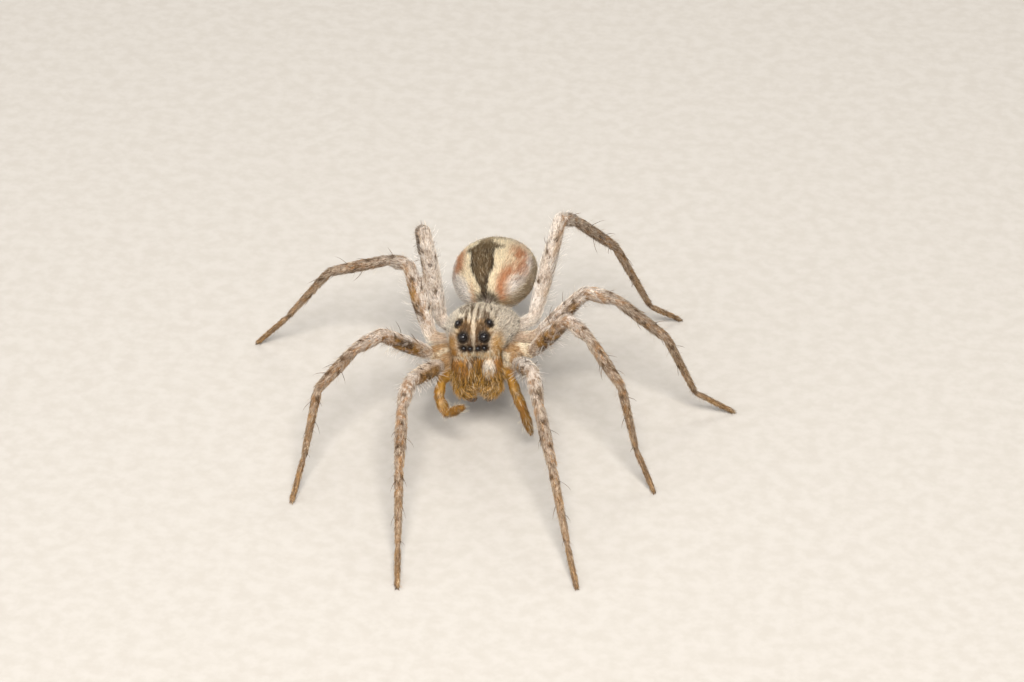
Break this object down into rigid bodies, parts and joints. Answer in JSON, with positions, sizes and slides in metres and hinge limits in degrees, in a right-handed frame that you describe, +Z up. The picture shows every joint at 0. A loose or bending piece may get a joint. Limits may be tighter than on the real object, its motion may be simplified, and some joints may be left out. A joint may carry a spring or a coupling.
{
  "type": "wolf spider",
  "caption": "Still, life-size wolf spider standing on spread legs, with a grey and cream coat, dark heart mark and golden jaws and palps.",
  "frame": {"origin": "below the middle of the footprint, at the middle of the bounding box's floor face", "axes": "+Z up, the spider faces -Y, and its left side is +X"},
  "size_m": [0.0364, 0.0372, 0.0134],
  "materials": {
    "carapace_coat": "short cream and grey hair over a brown shell, with dark streaks",
    "abdomen_coat": "short cream hair with a dark brown heart mark and rust patches",
    "leg_coat": "short greyish cream hair with small dark spots at the spines",
    "foot_coat": "short golden brown hair",
    "underside_coat": "short brown grey hair",
    "face_coat": "golden orange shell under long pale gold bristles",
    "palp_coat": "amber, slightly glossy, with pale hairs",
    "fang_horn": "dark brown glossy horn",
    "eye_lens": "glossy black lens"
  },
  "bodies": {
    "root": {"abdomen": "abdomen_coat", "carapace": "carapace_coat", "chelicera_L": "face_coat", "chelicera_R": "face_coat", "eye_al_L": "eye_lens", "eye_al_R": "eye_lens", "eye_am_L": "eye_lens", "eye_am_R": "eye_lens", "eye_pl_L": "eye_lens", "eye_pl_R": "eye_lens", "eye_pm_L": "eye_lens", "eye_pm_R": "eye_lens", "fang_L": "fang_horn", "fang_R": "fang_horn", "leg_L1_femur": "leg_coat", "leg_L1_metatarsus": "foot_coat", "leg_L1_patella": "leg_coat", "leg_L1_tarsus": "foot_coat", "leg_L1_tibia": "leg_coat", "leg_L2_femur": "leg_coat", "leg_L2_metatarsus": "foot_coat", "leg_L2_patella": "leg_coat", "leg_L2_tarsus": "foot_coat", "leg_L2_tibia": "leg_coat", "leg_L3_femur": "leg_coat", "leg_L3_metatarsus": "foot_coat", "leg_L3_patella": "leg_coat", "leg_L3_tarsus": "foot_coat", "leg_L3_tibia": "leg_coat", "leg_L4_femur": "leg_coat", "leg_L4_metatarsus": "foot_coat", "leg_L4_patella": "leg_coat", "leg_L4_tarsus": "foot_coat", "leg_L4_tibia": "leg_coat", "leg_R1_femur": "leg_coat", "leg_R1_metatarsus": "foot_coat", "leg_R1_patella": "leg_coat", "leg_R1_tarsus": "foot_coat", "leg_R1_tibia": "leg_coat", "leg_R2_femur": "leg_coat", "leg_R2_metatarsus": "foot_coat", "leg_R2_patella": "leg_coat", "leg_R2_tarsus": "foot_coat", "leg_R2_tibia": "leg_coat", "leg_R3_femur": "leg_coat", "leg_R3_metatarsus": "foot_coat", "leg_R3_patella": "leg_coat", "leg_R3_tarsus": "foot_coat", "leg_R3_tibia": "leg_coat", "leg_R4_femur": "leg_coat", "leg_R4_metatarsus": "foot_coat", "leg_R4_patella": "leg_coat", "leg_R4_tarsus": "foot_coat", "leg_R4_tibia": "leg_coat", "palp_L": "palp_coat", "palp_R": "palp_coat", "pedicel": "underside_coat", "spinnerets": "underside_coat", "sternum": "underside_coat"}
  },
  "joints": []
}
